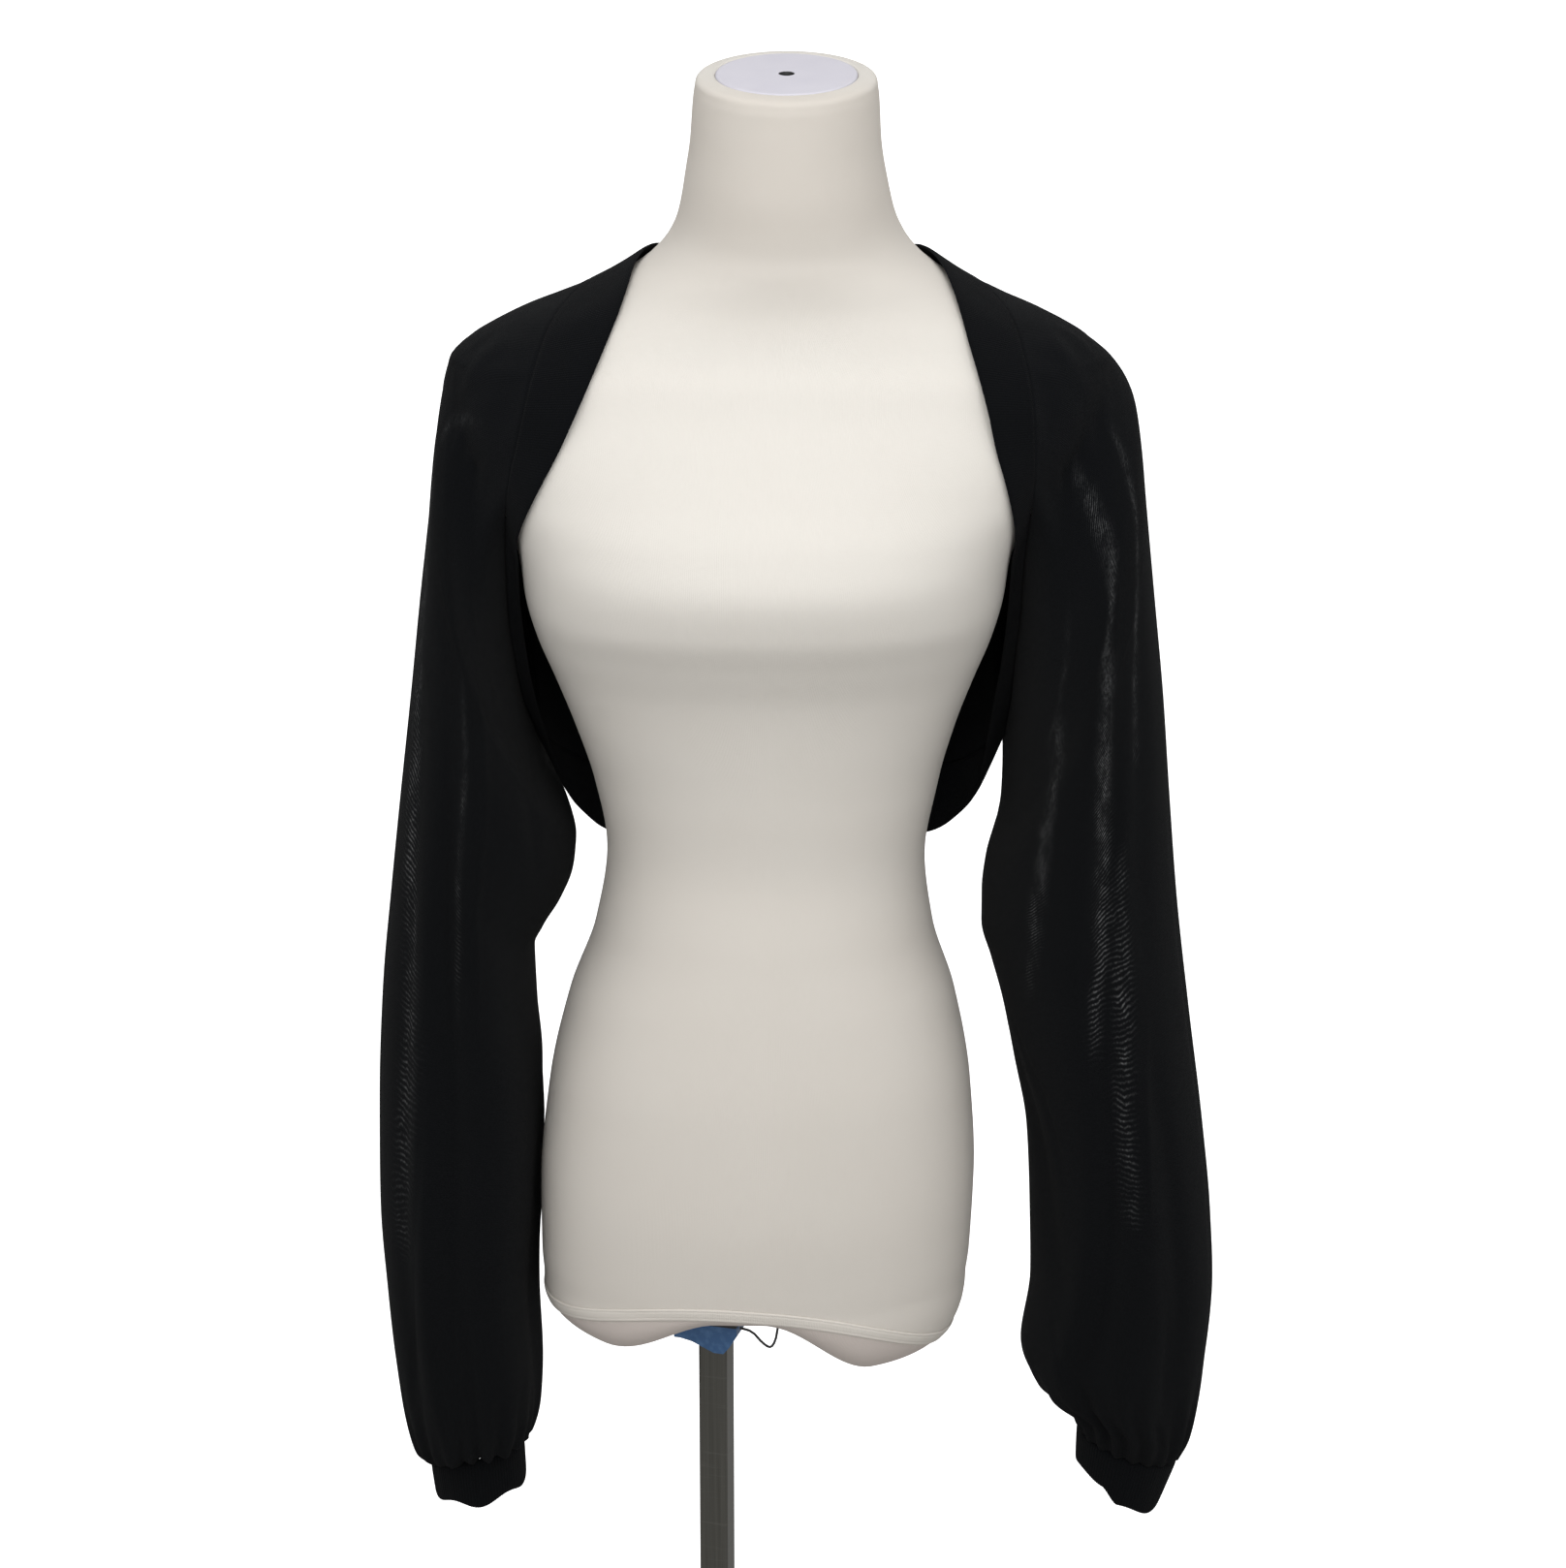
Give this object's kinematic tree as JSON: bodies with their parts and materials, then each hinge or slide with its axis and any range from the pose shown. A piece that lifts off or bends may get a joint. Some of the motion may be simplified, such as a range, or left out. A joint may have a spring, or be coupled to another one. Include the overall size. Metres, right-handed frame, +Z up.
{
  "type": "knitted shrug on dress form",
  "caption": "Cropped knit shrug with long balloon sleeves gathered into narrow cuffs, one band round its opening, worn on a limbless dress form on a pole stand.",
  "frame": {"origin": "centre of the base plate's underside, on the pole's axis", "axes": "+Z up along the pole; the front of the form faces -Y; the wearer's right arm is on -X"},
  "size_m": [0.5065, 0.33, 1.348],
  "materials": {
    "black_knit": "fine-gauge slightly sheer black knit",
    "black_rib": "doubled black knit band",
    "cream_cover": "cream stretch jersey",
    "cap_plastic": "satin lilac white",
    "brushed_steel": "dark brushed",
    "dark_steel": "dark satin",
    "blue_plastic": "satin blue",
    "base_paint": "dark satin"
  },
  "bodies": {
    "root": {"back_panel": "black_knit", "sleeve_r": "black_knit", "sleeve_l": "black_knit", "band": "black_rib", "cuff_r": "black_rib", "cuff_l": "black_rib", "form_body": "cream_cover", "cover_hem": "cream_cover", "neck_cap": "cap_plastic", "pole": "brushed_steel", "pole_flange": "dark_steel", "pole_clamp": "blue_plastic", "clamp_wire": "dark_steel", "base_socket": "base_paint", "base_plate": "base_paint"}
  },
  "joints": []
}
